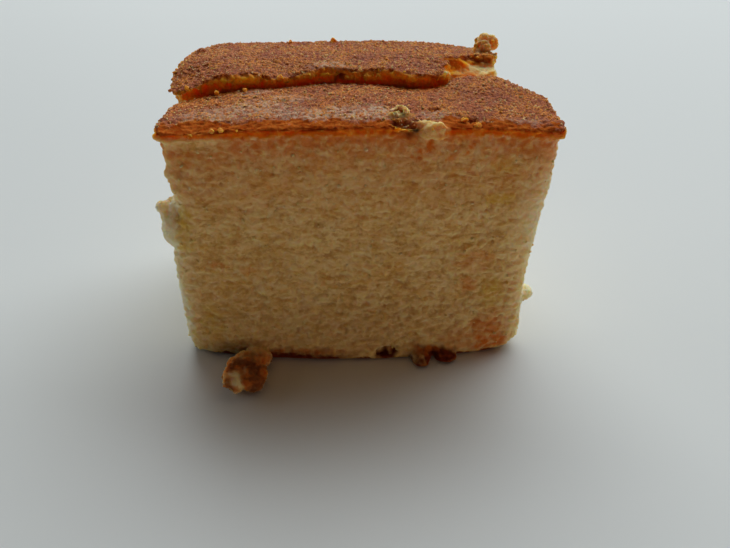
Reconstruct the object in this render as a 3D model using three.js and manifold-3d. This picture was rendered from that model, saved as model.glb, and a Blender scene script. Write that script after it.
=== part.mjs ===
// A block of plain golden sponge cake under a browned crust, cut into two upright slices that
// still stand together as one piece.
//
// Millimetres. +X runs along the cut faces, to the right. +Y runs away from the cut face that
// shows, and +Z is up. The origin is under the middle of the finished block's bounding box.

import * as THREE from 'three';
import { mergeVertices } from 'three/addons/utils/BufferGeometryUtils.js';
import Module from 'manifold-3d';

const wasm = await Module();
wasm.setup();

// ---- Driving dimensions ----

const CELL = 2.8; // size of a face's grid cells
const EDGE_CELL = 1.1; // the smaller cells that follow a rounded edge
const EDGE_ROUND = 0.6; // how far the base's and the top's edges are drawn in

const CRUST = 2.3; // thickness of the browned top crust, as seen on the cut faces
const LIP = 0.9; // how far the crust stands out over the crumb below it
const HEIGHT = 53.2; // the front slice's top at its ends
const CROWN = 1.0; // how much higher the top is in the middle of the width
const HALF_WIDTH = 37.5; // half of the width that the crown is spread over

const FACE = -25; // Y of the cut face that shows
const BACK = 23.2; // Y of the block's back
const SEAM_LEFT = -4; // Y of the cut between the slices at its left end, near the base
const SEAM_RIGHT = 0.6; // and at its right end
const SEAM_WANDER_FROM = 24; // above this height the cut wanders
const GAP = 1.0; // open space between the two slices

const BASE_BOW = 3.4; // the base swells forward by this much in the middle of the front face
const BASE_BOW_HEIGHT = 16; // where that swelling has faded out
const CORNER_LIFT = 1.8; // the front slice's base corners curl up off the surface

const LID_OVERHANG = 1.3; // the rear slice's crust leans over the front slice's top
const LID_UNDERSIDE = 54; // height of the underside of that leaning edge
const TEAR_DEPTH = 2.0; // crust is missing from the rear slice's right front corner
const TEAR_REACH = 13.5; // radius of that torn corner, seen from above

const CRUMB_ROUGHNESS = 0.42; // height of the crags of torn crumb on the cut faces
const CRUST_ROUGHNESS = 0.2; // height of the low bumps on the crust
const SEAM_SMOOTHNESS = 0.25; // share of those crags that is left on the two faces of the inner cut
const LUMP_ROUGHNESS = 0.28; // share of a lump's size that its own crags add or take away
const FINEST = 0.02; // slivers finer than this are closed up where lumps join a slice

// ---- Helpers: interpolation and seeded noise ----

const { lerp } = THREE.MathUtils;
const smooth = (t) => THREE.MathUtils.smoothstep(t, 0, 1);

/** A smooth curve through a few [position, value] knots, level beyond the first and last. */
function through(knots, t) {
  const next = knots.findIndex(([position]) => position > t);
  if (next === 0) return knots[0][1];
  if (next < 0) return knots[knots.length - 1][1];
  const [[from, low], [to, high]] = [knots[next - 1], knots[next]];
  return lerp(low, high, smooth((t - from) / (to - from)));
}

/** A repeatable number from -1 to 1 for each whole-number corner of space. */
function cornerValue(ix, iy, iz) {
  let h = Math.imul(ix, 374761393) + Math.imul(iy, 668265263) + Math.imul(iz, 1274126177);
  h = Math.imul(h ^ (h >>> 13), 1103515245);
  h = Math.imul(h ^ (h >>> 16), 2246822519);
  return ((h ^ (h >>> 15)) >>> 0) / 2147483648 - 1;
}

/** Smooth noise from -1 to 1 with lumps of about the given size. */
function noise(x, y, z, size) {
  const at = [x / size, y / size, z / size];
  const cell = at.map(Math.floor);
  const [u, v, w] = at.map((value, axis) => smooth(value - cell[axis]));
  const [ix, iy, iz] = cell;
  const along = (jy, jz) => lerp(cornerValue(ix, jy, jz), cornerValue(ix + 1, jy, jz), u);
  const across = (jz) => lerp(along(iy, jz), along(iy + 1, jz), v);
  return lerp(across(iz), across(iz + 1), w);
}

/** Crags of crumb or low bumps of crust: a large and a small lump size together. */
const rough = (x, y, z) => 0.65 * noise(x, y, z, 5.5) + 0.35 * noise(x + 90, y, z, 2.7);

// ---- Helpers: solids ----

/** Grid lines from 0 to 1 over a length, with two smaller cells at each end. */
function gridLines(length) {
  const edge = [0, EDGE_CELL, 2.2 * EDGE_CELL].map((distance) => distance / length);
  const inner = edge[edge.length - 1];
  const cells = Math.round(((1 - 2 * inner) * length) / CELL);
  const lines = [...edge];
  for (let n = 1; n < cells; n += 1) lines.push(lerp(inner, 1 - inner, n / cells));
  return [...lines, ...edge.map((line) => 1 - line).reverse()];
}

/**
 * The closed skin of a block of cells. place(a, b, layer) gives the position of a grid corner,
 * with a from 0 at the left to 1 at the right, and b from 0 at the front to 1 at the back.
 */
function blockGeometry(as, bs, layers, place) {
  const points = [];
  const faces = [];
  const indexOf = new Map();
  const [endA, endB, endC] = [as.length - 1, bs.length - 1, layers.length - 1];
  const at = (i, j, k) => {
    const key = `${i} ${j} ${k}`;
    if (!indexOf.has(key)) {
      indexOf.set(key, points.length / 3);
      points.push(...place(as[i], bs[j], layers[k]));
    }
    return indexOf.get(key);
  };
  const quad = (p, q, r, s, flip) => faces.push(...(flip ? [p, q, s, q, r, s] : [p, q, r, p, r, s]));
  for (let i = 0; i < endA; i += 1) {
    for (let j = 0; j < endB; j += 1) {
      const flip = (i + j) % 2;
      const ring = (k) => [at(i, j, k), at(i + 1, j, k), at(i + 1, j + 1, k), at(i, j + 1, k)];
      quad(...ring(0).reverse(), flip);
      quad(...ring(endC), flip);
    }
    for (let k = 0; k < endC; k += 1) {
      const flip = (i + k) % 2;
      const ring = (j) => [at(i, j, k), at(i + 1, j, k), at(i + 1, j, k + 1), at(i, j, k + 1)];
      quad(...ring(0), flip);
      quad(...ring(endB).reverse(), flip);
    }
  }
  for (let j = 0; j < endB; j += 1) {
    for (let k = 0; k < endC; k += 1) {
      const flip = (j + k) % 2;
      const ring = (i) => [at(i, j, k), at(i, j + 1, k), at(i, j + 1, k + 1), at(i, j, k + 1)];
      quad(...ring(0).reverse(), flip);
      quad(...ring(endA), flip);
    }
  }
  const geometry = new THREE.BufferGeometry();
  geometry.setAttribute('position', new THREE.Float32BufferAttribute(points, 3));
  geometry.setIndex(faces);
  return geometry;
}

/** Turns the square corners of the unit square seen from above into round ones. */
function roundPlan(a, b, radiusA, radiusB) {
  const [s, t] = [2 * a - 1, 2 * b - 1];
  const u = (Math.abs(s) - 1 + radiusA) / radiusA;
  const v = (Math.abs(t) - 1 + radiusB) / radiusB;
  if (u <= 0 || v <= 0) return [a, b];
  const pull = Math.max(u, v) / Math.hypot(u, v);
  const roundS = Math.sign(s) * (1 - radiusA + radiusA * u * pull);
  const roundT = Math.sign(t) * (1 - radiusB + radiusB * v * pull);
  return [(roundS + 1) / 2, (roundT + 1) / 2];
}

/** The layers of a slice, from its base up through the crumb and then the crust. */
function sliceLayers(height) {
  const foot = 1.5 / height;
  const layers = [
    { crumb: 0, crust: 0, out: -EDGE_ROUND, lip: 0 },
    { crumb: foot / 3, crust: 0, out: -0.2, lip: 0 },
    { crumb: foot, crust: 0, out: 0, lip: 0 },
  ];
  const steps = Math.round((height - CRUST) / CELL);
  for (let n = 1; n < steps; n += 1) {
    layers.push({ crumb: lerp(foot, 1, n / steps), crust: 0, out: 0, lip: 0 });
  }
  return [
    ...layers,
    { crumb: 1, crust: 0, out: 0, lip: 0 },
    { crumb: 1, crust: 0.15, out: 0, lip: 0.75 },
    { crumb: 1, crust: 0.55, out: 0, lip: 1 },
    { crumb: 1, crust: 0.88, out: -0.1, lip: 0.6 },
    { crumb: 1, crust: 1, out: -EDGE_ROUND, lip: 0.6 },
  ];
}

/**
 * A slice from its outlines: left and right (height), front and back (x, height), base and top
 * (x, y), with the crust's thickness and lip (x, y), the corners' radius in plan (a, b) and the
 * side of the inner cut: 1 at the back, -1 at the front.
 */
function sliceGeometry({ left, right, front, back, base, crust, top, lip, corner, seamSide }) {
  const place = (a, b, layer) => {
    const level = layer.crumb * (HEIGHT - CRUST) + layer.crust * CRUST;
    const width = right(level) - left(level);
    const middle = lerp(left(level), right(level), a);
    const depth = back(middle, level) - front(middle, level);
    const radius = corner(a, b);
    const [radiusA, radiusB] = [(2 * radius) / width, (2 * radius) / depth];
    const [planA, planB] = roundPlan(a, b, radiusA, radiusB);
    let x = lerp(left(level), right(level), planA);
    let y = lerp(front(x, level), back(x, level), planB);
    let z = lerp(base(x, y), top(x, y) - crust(x, y), layer.crumb) + crust(x, y) * layer.crust;

    // The way out of the slice, seen from above: square to a side, and slanting round a corner.
    const outX = Math.sign(planA - 0.5) * smooth((Math.abs(2 * planA - 1) - 1 + radiusA) / radiusA);
    const outY = Math.sign(planB - 0.5) * smooth((Math.abs(2 * planB - 1) - 1 + radiusB) / radiusB);
    const onSide = Math.max(a, 1 - a, b, 1 - b) === 1;
    if (onSide) {
      const share = seamSide * outY > Math.abs(outX) ? SEAM_SMOOTHNESS : 1;
      const crags = share * (layer.crust > 0 ? CRUST_ROUGHNESS : CRUMB_ROUGHNESS) * rough(x, y, z);
      const out = (layer.out + layer.lip * lip(x, y) + crags) / Math.hypot(outX, outY);
      x += outX * out;
      y += outY * out;
    }
    if (layer.crust === 1) z += CRUST_ROUGHNESS * rough(x, y, 3 * HEIGHT);
    return [x, y, z];
  };
  const length = right(HEIGHT / 2) - left(HEIGHT / 2);
  const depth = back(0, HEIGHT / 2) - front(0, HEIGHT / 2);
  return blockGeometry(gridLines(length), gridLines(depth), sliceLayers(HEIGHT), place);
}

/** A craggy lump of crumb or crust: a ball of the given half sizes, roughened and turned. */
function lump({ at, half, turn = 0, lean = 0, detail = 2 }) {
  const ball = new THREE.IcosahedronGeometry(1, detail);
  ball.deleteAttribute('normal');
  ball.deleteAttribute('uv');
  const geometry = mergeVertices(ball, 1e-4);
  const position = geometry.attributes.position;
  for (let n = 0; n < position.count; n += 1) {
    const [x, y, z] = [position.getX(n), position.getY(n), position.getZ(n)];
    const size = 1 + LUMP_ROUGHNESS * noise(x + at[0], y + at[1], z + at[2], 0.7);
    position.setXYZ(n, x * size * half[0], y * size * half[1], z * size * half[2]);
  }
  geometry.rotateY(lean);
  geometry.rotateZ(turn);
  geometry.translate(...at);
  for (let n = 0; n < position.count; n += 1) position.setZ(n, Math.max(position.getZ(n), 0.02));
  return geometry;
}

/** A three.js geometry as a solid that can be joined to others. */
function solid(geometry) {
  return new wasm.Manifold(new wasm.Mesh({
    numProp: 3,
    tolerance: FINEST,
    vertProperties: new Float32Array(geometry.attributes.position.array),
    triVerts: new Uint32Array(geometry.index.array),
  }));
}

/** One geometry from a body, the lumps that are fused to it and the hollows torn out of it. */
function fuse(body, lumps, hollows = []) {
  let joined = solid(body);
  for (const piece of lumps) joined = joined.add(solid(lump(piece)));
  for (const piece of hollows) joined = joined.subtract(solid(lump(piece)));
  const mesh = joined.getMesh();
  const geometry = new THREE.BufferGeometry();
  geometry.setAttribute('position', new THREE.BufferAttribute(mesh.vertProperties, 3));
  geometry.setIndex(new THREE.BufferAttribute(mesh.triVerts, 1));
  return geometry;
}

// ---- The cut between the slices ----

/** Y of the cut at x and height z: straight at the base, wandering where the crust crumbled. */
function seam(x, z) {
  const straight = lerp(SEAM_LEFT, SEAM_RIGHT, x / (2 * HALF_WIDTH) + 0.5);
  const wander = [
    [-38, -5], [-28, -3.2], [-18, -1.8], [-6, 0.6], [4, -0.8],
    [12, -2.8], [16, -2.4], [22, 2.6], [29, 2.4], [36, 0],
  ];
  const share = smooth((z - SEAM_WANDER_FROM) / (HEIGHT - SEAM_WANDER_FROM));
  return lerp(straight, through(wander, x), share);
}

// ---- The front slice ----

function frontSlice() {
  const leftOutline = [[0, -38.8], [4, -39.3], [24, -38.8], [40, -35.5], [47, -36.9], [52, -37]];
  const rightOutline = [[0, 35.4], [4, 36], [18, 35.4], [30, 36.1], [41, 37.1], [52, 37.2]];
  const shape = {
    left: (z) => through(leftOutline, z),
    right: (z) => through(rightOutline, z),
    front: (x, z) => FACE - BASE_BOW * (1 - (x / HALF_WIDTH) ** 2) * (1 - smooth(z / BASE_BOW_HEIGHT)),
    back: (x, z) => seam(x, z) - GAP / 2,
    base: (x, y) => {
      const lift = CORNER_LIFT * (x > 0 ? 1 : 0.3);
      return lift * smooth((Math.abs(x) - 28) / 9) * smooth((-14 - y) / 10);
    },
    crust: () => CRUST,
    top: (x, y) => {
      const crown = CROWN * (1 - (x / HALF_WIDTH) ** 2) * (1 - 0.4 * smooth((y + 12) / 9));
      const shoulder = 0.9 * smooth((x - 18) / 4) * smooth((y + 12) / 8) * (1 - smooth((x - 29) / 8));
      const sag = 1.1 * smooth((-26 - x) / 10) * smooth((y + 18) / 12);
      const rolledEdge = 0.3 * smooth((y - seam(x, HEIGHT) + 3.5) / 2.5);
      return HEIGHT + crown + shoulder - sag - rolledEdge + 0.12 * Math.sin(x / 3.4 + 1);
    },
    lip: (x, y) => (y > -6 ? 0 : LIP * (Math.abs(x) > 35 ? 1 : 0.45)),
    corner: (a, b) => (b > 0.5 && a > 0.5 ? 9 : 2.7),
    seamSide: 1,
  };
  const lumps = [
    // Crumb that bulges from the left side under a notch, with a small tip.
    { at: [-37.4, -20.2, 32], half: [3.5, 5.0, 5.4] },
    { at: [-39.8, -20.4, 35.4], half: [1.7, 2.0, 1.4], detail: 1 },
    // A tuft of crumb on the right side, near the base.
    { at: [36.6, -19.8, 12], half: [2.3, 2.4, 1.8], detail: 1 },
    // Scraps of the base crust that stick out in front, under the left and the right half.
    { at: [-24.8, -33.2, 1.8], half: [5.1, 5.8, 3.0], turn: 0.3 },
    { at: [-27.6, -35.0, 2.4], half: [2.2, 4.0, 2.9], turn: -0.2, detail: 1 },
    { at: [-22.8, -29.6, 2.6], half: [3.2, 3.6, 2.2], turn: -0.5, detail: 1 },
    { at: [-26.2, -38.0, 2.4], half: [1.4, 1.6, 2.0], detail: 1 },
    { at: [13.2, -28.3, 0.9], half: [2.6, 2.8, 1.8], detail: 1 },
    { at: [18.6, -28.0, 0.9], half: [2.8, 2.3, 1.5], turn: 0.3, detail: 1 },
    // Crumbs baked on to the front edge of the crust.
    { at: [7.6, -19.4, 54.1], half: [2.2, 1.8, 1.5], detail: 1 },
    { at: [13.9, -25.2, 53.2], half: [1.8, 1.2, 1.6], detail: 1 },
  ];
  // Small hollows where crumb has broken away from the base edge.
  const hollows = [
    { at: [5.2, -28.6, 2.4], half: [1.9, 1.8, 1.5], detail: 1 },
    { at: [11.6, -28.2, 4.4], half: [1.5, 1.5, 1.1], detail: 1 },
  ];
  return fuse(sliceGeometry(shape), lumps, hollows);
}

// ---- The rear slice ----

function rearSlice() {
  const leftOutline = [[0, -38.4], [10, -38.8], [42, -38], [54, -38.2]];
  const rightOutline = [[0, 33.2], [25, 33.6], [42, 32.4], [50, 30.4]];
  const lidEdge = [
    [-38, 53.7], [-34, 54.5], [-28, 56.6], [-22, 56.6], [-16, 55.2],
    [-6, 56.6], [-1, 56], [6, 56.8], [17, 56],
  ];
  const torn = (x, y) => {
    const distance = Math.hypot(x - 31, y + 3) + 1.3 * noise(x, y, 0, 3);
    return 1 - smooth((distance - TEAR_REACH + 1.5) / 1.5);
  };
  const top = (x, y) => {
    const crown = 56.5 - 1.1 * smooth((y - 8) / 14) - 0.6 * smooth((x - 12) / 18);
    const end = 1.2 * smooth((-30 - x) / 9);
    const lid = lerp(through(lidEdge, x), crown - end, smooth((y + 2) / 9));
    return lid - TEAR_DEPTH * torn(x, y) * (1 + 0.4 * noise(x, y, 7, 3));
  };
  const shape = {
    left: (z) => through(leftOutline, z),
    right: (z) => through(rightOutline, z),
    front: (x, z) => seam(x, z) + GAP / 2,
    back: (x, z) => {
      const bow = 3.2 * smooth((x - 6) / 24) + 1.2 * (x / HALF_WIDTH) ** 2;
      return BACK - bow + 0.8 * (1 - z / HEIGHT);
    },
    base: () => 0,
    crust: (x, y) => lerp(Math.max(top(x, y) - LID_UNDERSIDE, CRUST / 2), CRUST, smooth((y - 3) / 5)),
    top,
    lip: (x, y) => (y < 4 ? LID_OVERHANG * (1 - torn(x, y)) : 0.8 * (1 - torn(x, y))),
    corner: (a, b) => (b < 0.5 ? 3 : a < 0.5 ? 6.5 : 8),
    seamSide: -1,
  };
  const lumps = [
    // A flake of crust and crumb that stands up at the right end, with a darker scrap below it.
    { at: [28.6, 15.4, 55.7], half: [1.8, 2.2, 2.7], lean: 0.35 },
    { at: [30.5, 15.2, 56.9], half: [1.7, 1.4, 1.4], detail: 1 },
    { at: [28.4, 13.2, 54.2], half: [2.6, 2.2, 1.6], detail: 1 },
    // A tuft on the back left corner of the crust.
    { at: [-35.8, 17.0, 54.6], half: [1.8, 1.8, 1.2], detail: 1 },
  ];
  return fuse(sliceGeometry(shape), lumps);
}

// ---- The cake ----

const sponge = { color: 0xdcc08a, roughness: 0.85, metalness: 0 };
const slices = [
  { name: 'front_slice', geometry: frontSlice() },
  { name: 'rear_slice', geometry: rearSlice() },
];

const cake = new THREE.Group();
for (const { name, geometry } of slices) {
  geometry.computeVertexNormals();
  const mesh = new THREE.Mesh(geometry, new THREE.MeshStandardMaterial(sponge));
  mesh.name = name;
  cake.add(mesh);
}

// The origin moves to the middle of the bounding box's underside.
const box = new THREE.Box3().setFromObject(cake);
const middle = box.getCenter(new THREE.Vector3());
cake.position.set(-middle.x, -middle.y, -box.min.z);
cake.updateMatrixWorld(true);

export default cake;
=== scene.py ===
# %% [markdown]
# # Two slices of plain sponge cake
#
# The cake is a block of golden sponge under a thin browned crust. It was cut down the middle, and
# the two slices still stand together. A cut sponge is mostly torn bubbles: the knife leaves pits
# and small crags, paler on the crests and warmer in the pits. The crust is a different thing, a
# skin of dried and browned bubbles about two millimetres thick, grainy on top and deep orange
# where the knife went through it.
#
# The frame already holds both slices as coarse solids of the right size. This lesson gives each
# one a fine skin, carves the crumb and the crust into that skin, colours it from the inside out,
# and adds the loose crumbs that cling to it.

import math

import bmesh
import bpy
import numpy as np
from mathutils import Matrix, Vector, noise


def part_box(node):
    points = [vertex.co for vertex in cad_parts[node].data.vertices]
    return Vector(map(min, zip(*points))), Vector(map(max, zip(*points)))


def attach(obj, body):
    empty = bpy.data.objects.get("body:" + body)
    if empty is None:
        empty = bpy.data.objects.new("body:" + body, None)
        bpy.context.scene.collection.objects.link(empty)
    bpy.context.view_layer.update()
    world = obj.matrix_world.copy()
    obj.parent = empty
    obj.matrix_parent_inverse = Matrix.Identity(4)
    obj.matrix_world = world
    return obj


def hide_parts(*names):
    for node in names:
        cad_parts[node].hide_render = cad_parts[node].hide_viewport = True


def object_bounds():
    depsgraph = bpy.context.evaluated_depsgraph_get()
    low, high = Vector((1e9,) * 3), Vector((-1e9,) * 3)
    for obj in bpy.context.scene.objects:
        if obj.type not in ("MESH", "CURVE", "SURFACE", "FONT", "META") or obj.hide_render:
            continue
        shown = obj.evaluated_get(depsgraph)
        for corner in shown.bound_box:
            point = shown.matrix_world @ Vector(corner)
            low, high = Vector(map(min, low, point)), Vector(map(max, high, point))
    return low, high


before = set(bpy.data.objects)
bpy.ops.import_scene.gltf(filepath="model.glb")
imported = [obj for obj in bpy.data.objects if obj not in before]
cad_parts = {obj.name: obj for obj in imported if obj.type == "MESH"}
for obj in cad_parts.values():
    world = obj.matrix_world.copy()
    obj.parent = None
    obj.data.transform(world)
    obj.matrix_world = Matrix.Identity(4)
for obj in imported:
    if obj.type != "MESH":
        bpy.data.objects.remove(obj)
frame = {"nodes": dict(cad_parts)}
cad_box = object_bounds()

MM = 0.001
scene = bpy.context.scene
print("solids:", ", ".join(frame["nodes"]))

# %% [markdown]
# ## A short hand for node trees
#
# Both the relief and the colours are built from nodes. Writing each node out in full is slow to
# read, so a few small helpers place a node, set its values and link its inputs in one go.

# %% Node helpers
def add(tree, kind, settings=None, inputs=None):
    """One node. An input is a number, a colour, or another node's output."""
    made = tree.nodes.new(kind)
    for name, value in (settings or {}).items():
        setattr(made, name, value)
    for name, value in (inputs or {}).items():
        if isinstance(value, bpy.types.NodeSocket):
            tree.links.new(value, made.inputs[name])
        else:
            made.inputs[name].default_value = value
    return made


def calc(tree, operation, first, second=0.0, third=0.0):
    """One step of arithmetic."""
    values = {0: first, 1: second}
    if operation == "MULTIPLY_ADD":
        values[2] = third
    return add(tree, "ShaderNodeMath", {"operation": operation}, values).outputs[0]


def fade(tree, value, start, end, low=0.0, high=1.0):
    """Goes smoothly from low to high while the value goes from start to end."""
    settings = {"interpolation_type": "SMOOTHSTEP"}
    inputs = {"Value": value, "From Min": start, "From Max": end, "To Min": low, "To Max": high}
    return add(tree, "ShaderNodeMapRange", settings, inputs).outputs[0]


def blend(tree, share, first, second):
    """A colour between two colours."""
    mix = add(tree, "ShaderNodeMix", {"data_type": "RGBA"}, {0: share, 6: first, 7: second})
    return mix.outputs[2]


def speckle(tree, where, size, detail=2.0, roughness=0.5):
    """Cloudy noise from 0 to 1 with spots of about the given size."""
    inputs = {"Vector": where, "Scale": 1 / size, "Detail": detail, "Roughness": roughness}
    return add(tree, "ShaderNodeTexNoise", None, inputs).outputs["Fac"]


print("node helpers: add, calc, fade, blend, speckle")

# %% [markdown]
# ## A fine skin for each slice
#
# Each solid has facets about three millimetres wide, and a crumb is a third of that. The skin
# could be subdivided, but long triangles stay long. A voxel remesh fills the solid with a grid
# of small cubes and wraps it again in even quads, which suits crumb: it has no direction of its
# own. A little smoothing then melts the old facets away. The upright edges are rubbed rounder
# than the rest, which lets light in behind them, so the ends get more smoothing. A few helpers
# that read and write meshes come first, because every later step needs them.

# %% Mesh helpers
def in_scene(name, data):
    """A new object in the scene."""
    made = bpy.data.objects.new(name, data)
    scene.collection.objects.link(made)
    return made


def settle(skin):
    """Turns what the modifiers show into the piece's own mesh."""
    shown = skin.evaluated_get(bpy.context.evaluated_depsgraph_get())
    mesh = bpy.data.meshes.new_from_object(shown)
    skin.modifiers.clear()
    skin.data = mesh


def points_of(skin):
    """A mesh's points as numbers, in metres."""
    points = np.empty(3 * len(skin.data.vertices), np.float32)
    skin.data.vertices.foreach_get("co", points)
    return points.reshape(-1, 3)


def triangles_of(skin):
    """How many triangles a mesh has."""
    return sum(len(face.vertices) - 2 for face in skin.data.polygons)


def mask_of(skin, name):
    """One of a mesh's masks as numbers."""
    values = np.empty(len(skin.data.vertices), np.float32)
    skin.data.attributes[name].data.foreach_get("value", values)
    return values


def store_mask(skin, name, values):
    """Stores a mask on a mesh."""
    made = skin.data.attributes.new(name, "FLOAT", "POINT")
    made.data.foreach_set("value", values.astype(np.float32))


def mark(skin, name, chosen):
    """Puts the chosen points in a named group, for a modifier to read."""
    group = skin.vertex_groups.new(name=name)
    group.add(np.flatnonzero(chosen).tolist(), 1.0, "REPLACE")


print("mesh helpers: in_scene, settle, points_of, triangles_of, mask_of, store_mask, mark")

# %% Fine skin
SKIN_CELL = 0.3 * MM
FACET_SMOOTHING = 5
END_SMOOTHING = 30
# The ends lie further out than this, and between foot and crust, in millimetres.
END_START = 31
END_FOOT = 1
END_TOP = 50


def merged_copy(node, name):
    """A copy of a solid with its loose triangles joined."""
    shape = bmesh.new()
    shape.from_mesh(frame["nodes"][node].data)
    bmesh.ops.remove_doubles(shape, verts=shape.verts, dist=1e-7)
    mesh = bpy.data.meshes.new(name)
    shape.to_mesh(mesh)
    shape.free()
    return in_scene(name, mesh)


def smooth(skin, name, rounds, group=""):
    """Draws points half-way to the middle of their neighbours, round after round."""
    rubbing = skin.modifiers.new(name, "SMOOTH")
    rubbing.factor = 0.5
    rubbing.iterations = rounds
    rubbing.vertex_group = group
    settle(skin)


def fine_skin(node, name):
    """The solid with a fine, even skin."""
    skin = merged_copy(node, name)
    remesh = skin.modifiers.new("even quads", "REMESH")
    remesh.mode = "VOXEL"
    remesh.voxel_size = SKIN_CELL
    smooth(skin, "facets melted", FACET_SMOOTHING)
    points = points_of(skin) / MM
    upright = (points[:, 2] > END_FOOT) & (points[:, 2] < END_TOP)
    mark(skin, "ends", upright & (np.abs(points[:, 0]) > END_START))
    smooth(skin, "ends softened", END_SMOOTHING, "ends")
    skin.vertex_groups.clear()
    return skin


front = fine_skin("front_slice", "front_sponge")
rear = fine_skin("rear_slice", "rear_sponge")
print("cells:", len(front.data.polygons), len(rear.data.polygons))

# %% [markdown]
# ## Stains and dust, painted where they are
#
# Some marks don't follow a rule: caramel that ran down from the crust, butter-yellow patches, an
# over-baked lower corner, crumb that shows through the crust, charred scraps of the base crust,
# the crust's browned and rubbed rim, pale dusting on it that is partly a painted sheen, painted
# shade in hollows and along the foot, and both ends painted pale for the glow of light through
# them. Some larger bits also stand out or lie in a hollow. A texture image could hold all that,
# but so few soft spots are easier to list, in millimetres. Each spot fades from its middle, and
# the mask is stored on the mesh, where relief and colours both read it.

# %% Spots
# The waves that bend the spots' outlines: their lengths, and how high a wave is for its length.
WAVE_LENGTHS = (5.0, 3.4, 2.6, 1.9, 1.4, 1.0)
WAVE_HEIGHT = 0.1
WAVE_SEED = 7


def uneven(points):
    """Places, in millimetres, bent by waves in random directions, for uneven outlines."""
    chance = np.random.default_rng(WAVE_SEED)
    bent = points.copy()
    for length in WAVE_LENGTHS:
        ways = chance.normal(size=(3, 3))
        ways *= 2 * np.pi / length / np.linalg.norm(ways, axis=0)
        bent += WAVE_HEIGHT * length * np.sin(points @ ways + chance.uniform(0, 6, 3))
    return bent


def paint(skin, name, spots):
    """Keeps the strongest of some soft spots. A spot is its middle, half sizes and strength.

    It is full up to 0.6 of its size and fades out by 1.1 of it.
    """
    points = uneven(points_of(skin) / MM)
    mask = np.zeros(len(points), np.float32)
    for x, y, z, wide, deep, tall, strength in spots:
        away = np.linalg.norm((points - (x, y, z)) / (wide, deep, tall), axis=1)
        mask = np.maximum(mask, strength * np.clip(2.2 - 2 * away, 0, 1))
    store_mask(skin, name, mask)


# Caramel in the crumb under the crust and in the lower corner.
CARAMEL = [
    (-18.1, -17.3, 50.6, 2.0, 3, 2.0, 0.9),
    (-13.0, -17.3, 51.2, 4.6, 3, 1.8, 0.75),
    (-18.6, -17.3, 47.4, 1.4, 3, 1.4, 0.35),
    (2.0, -17.3, 50.8, 21.0, 3, 2.8, 0.5),
    (28.0, -17.3, 51.6, 9.0, 3, 2.0, 0.45),
    (13.1, -17.3, 49.6, 1.9, 3, 2.2, 1.2),
    (11.7, -17.3, 47.4, 1.7, 3, 1.4, 1.2),
    (12.6, -17.3, 49.4, 3.8, 3, 3.8, 0.5),
    (17.4, -17.3, 48.0, 1.9, 3, 1.3, 0.8),
    (21.4, -17.3, 49.5, 1.4, 3, 1.4, 1.0),
    (22.1, -17.3, 45.8, 1.6, 3, 1.0, 0.6),
    (27.0, -17.3, 47.4, 2.6, 3, 1.8, 0.6),
    (-27.3, -17.3, 24.1, 2.8, 3, 1.3, 0.55),
    (-22.1, -17.3, 23.0, 2.2, 3, 1.1, 0.4),
    (25.5, -17.3, 24.1, 4.0, 3, 2.6, 0.45),
    (24.4, -17.3, 18.2, 2.2, 3, 2.8, 0.5),
    (29.5, -18.3, 7.2, 4.6, 4, 4.6, 0.7),
    (30.5, -18.6, 2.6, 5.0, 5, 2.6, 1.0),
    (23.0, -18.6, 4.4, 4.6, 4, 3.4, 0.45),
    (24.0, 11.8, 53.4, 3.6, 3.6, 1.5, 1.0),
    (21.0, 11.2, 54.6, 1.6, 3.0, 1.8, 0.7),
    (33.4, 21.9, 57.3, 1.7, 2.0, 1.5, 1.0),
    (-36.6, 25.2, 54.8, 1.8, 1.8, 1.6, 0.8),
    (8.2, -12.6, 54.6, 1.2, 1.2, 1.0, 0.6),
]
# Butter-yellow patches of crumb.
BUTTER = [
    (29.2, -17.3, 38.7, 4.0, 4, 1.5, 0.75),
    (28.4, -17.3, 46.0, 3.0, 3, 2.0, 0.5),
    (-33.3, -17.3, 34.7, 2.2, 4, 3.4, 0.8),
    (-33.5, -17.3, 29.5, 2.0, 4, 3.0, 0.6),
    (29.5, -17.3, 16.0, 3.0, 3, 5.0, 0.5),
    (-31.0, -17.3, 9.0, 3.0, 3, 6.0, 0.4),
]
# Crumb that shows where the crust is missing, and on the front scrap.
BARE = [
    (-31.0, -17.8, 51.2, 10.0, 2.4, 1.5, 0.9),
    (14.0, -17.4, 53.8, 3.1, 2.8, 2.1, 0.9),
    (29.9, 23.1, 56.8, 4.0, 4.0, 3.6, 0.85),
    (30.5, 14.5, 52.6, 5.5, 5.5, 2.4, 1.0),
    (29.5, 16.6, 54.0, 4.5, 3.5, 1.0, 0.9),
    (-36.6, 25.2, 54.8, 1.8, 1.8, 1.6, 0.9),
    (8.9, -11.9, 54.8, 3.0, 2.4, 1.8, 0.9),
    (-25.1, -29.8, 3.0, 1.7, 2.8, 4.0, 1.0),
]
# The base crust and its scraps, with painted shadow along the foot where it meets the floor, and
# painted shade in hollows on the top and at the foot.
SCORCHED_AND_SHADE_SPOTS = [
    (-24.0, -27.0, 2.0, 10.0, 8.0, 5.4, 0.88),
    (17.0, -21.8, 0.9, 8.0, 3.6, 2.8, 1.0),
    (6.5, -20.4, 1.6, 3.0, 2.4, 1.9, 1.0),
    (-15.0, -20.0, 0.0, 15.0, 6.0, 3.4, 1.0),
    (24.0, -19.0, 0.0, 6.0, 5.0, 1.2, 0.5),
    (9.6, -16.4, 53.6, 3.4, 2.8, 1.8, 0.75),
    (29.6, 18.2, 56.0, 4.4, 4.4, 1.7, 0.8),
    (21.6, 13.4, 56.2, 2.0, 2.6, 1.0, 0.4),
    (-2.9, 7.5, 54.8, 1.3, 1.2, 1.1, 0.9),
    (14.8, -8.7, 54.5, 1.4, 1.0, 1.4, 0.6),
    (21.5, -13.7, 54.0, 2.0, 1.2, 1.4, 0.5),
]
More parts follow.
